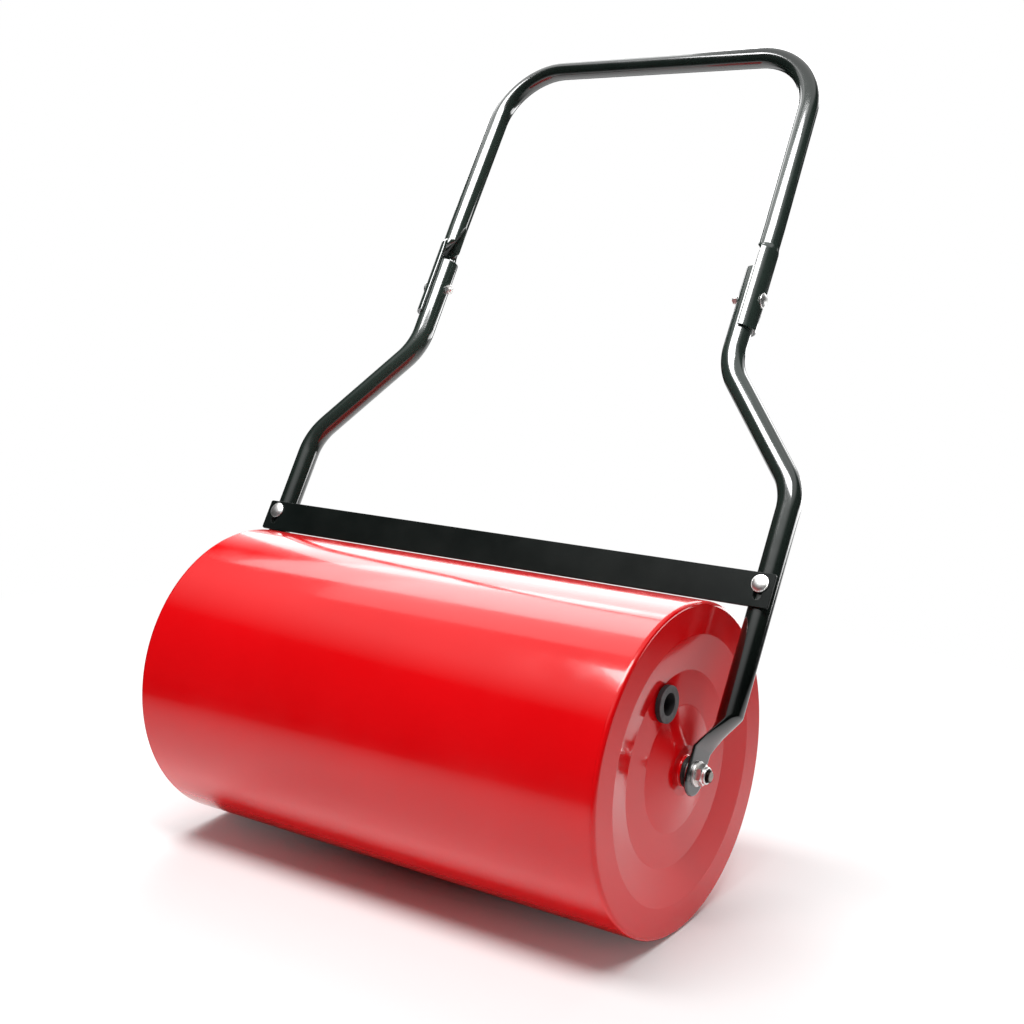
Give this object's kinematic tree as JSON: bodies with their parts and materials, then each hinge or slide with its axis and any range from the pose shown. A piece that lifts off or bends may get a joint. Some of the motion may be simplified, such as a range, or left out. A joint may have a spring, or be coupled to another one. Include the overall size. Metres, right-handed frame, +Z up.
{
  "type": "lawn roller",
  "caption": "Garden lawn roller: a sealed steel drum with a filler plug turns on an axle between the arms of a raised tube handle with a scraper bar.",
  "frame": {"origin": "on the ground under the middle of the axle, at the drum's lowest line", "axes": "+X along the axle to the end cap with the filler plug, +Y to the back where the handle leans, +Z up"},
  "size_m": [0.654, 0.5976, 0.8533],
  "materials": {
    "red_paint": "glossy",
    "black_paint": "glossy",
    "zinc_plate": "bright zinc plate",
    "axle_steel": "satin",
    "nylon": "satin",
    "rubber": "matt"
  },
  "bodies": {
    "handle_frame": {"upper_handle": "black_paint", "lower_tube_left": "black_paint", "lower_tube_right": "black_paint", "joint_bolt_left": "zinc_plate", "joint_bolt_right": "zinc_plate", "joint_nut_left": "zinc_plate", "joint_nut_right": "zinc_plate", "scraper_bolt_left": "zinc_plate", "scraper_bolt_right": "zinc_plate", "scraper_nut_left": "zinc_plate", "scraper_nut_right": "zinc_plate", "axle_nut_left": "zinc_plate", "axle_nut_right": "zinc_plate", "axle_washer_left": "zinc_plate", "axle_washer_right": "zinc_plate", "axle_spacer_left": "zinc_plate", "axle_spacer_right": "zinc_plate", "axle_rod": "axle_steel"},
    "drum": {"drum_shell": "red_paint", "end_cap_left": "red_paint", "end_cap_right": "red_paint", "filler_neck": "red_paint", "axle_sleeve": "red_paint", "bush_left": "nylon", "bush_right": "nylon"},
    "scraper": {"scraper_bar": "black_paint"},
    "plug": {"filler_plug": "rubber"}
  },
  "joints": [
    {"name": "drum_spin", "type": "hinge", "parent": "handle_frame", "child": "drum", "pos_m": [0, 0, 0.16], "axis": [1, 0, 0], "continuous": true},
    {"name": "scraper_adjust", "type": "slide", "parent": "handle_frame", "child": "scraper", "axis": [0, 0.5299, 0.848], "range_m": [0, 0.012]},
    {"name": "filler_plug_pull", "type": "slide", "parent": "drum", "child": "plug", "axis": [1, 0, 0], "range_m": [0, 0.05]}
  ]
}
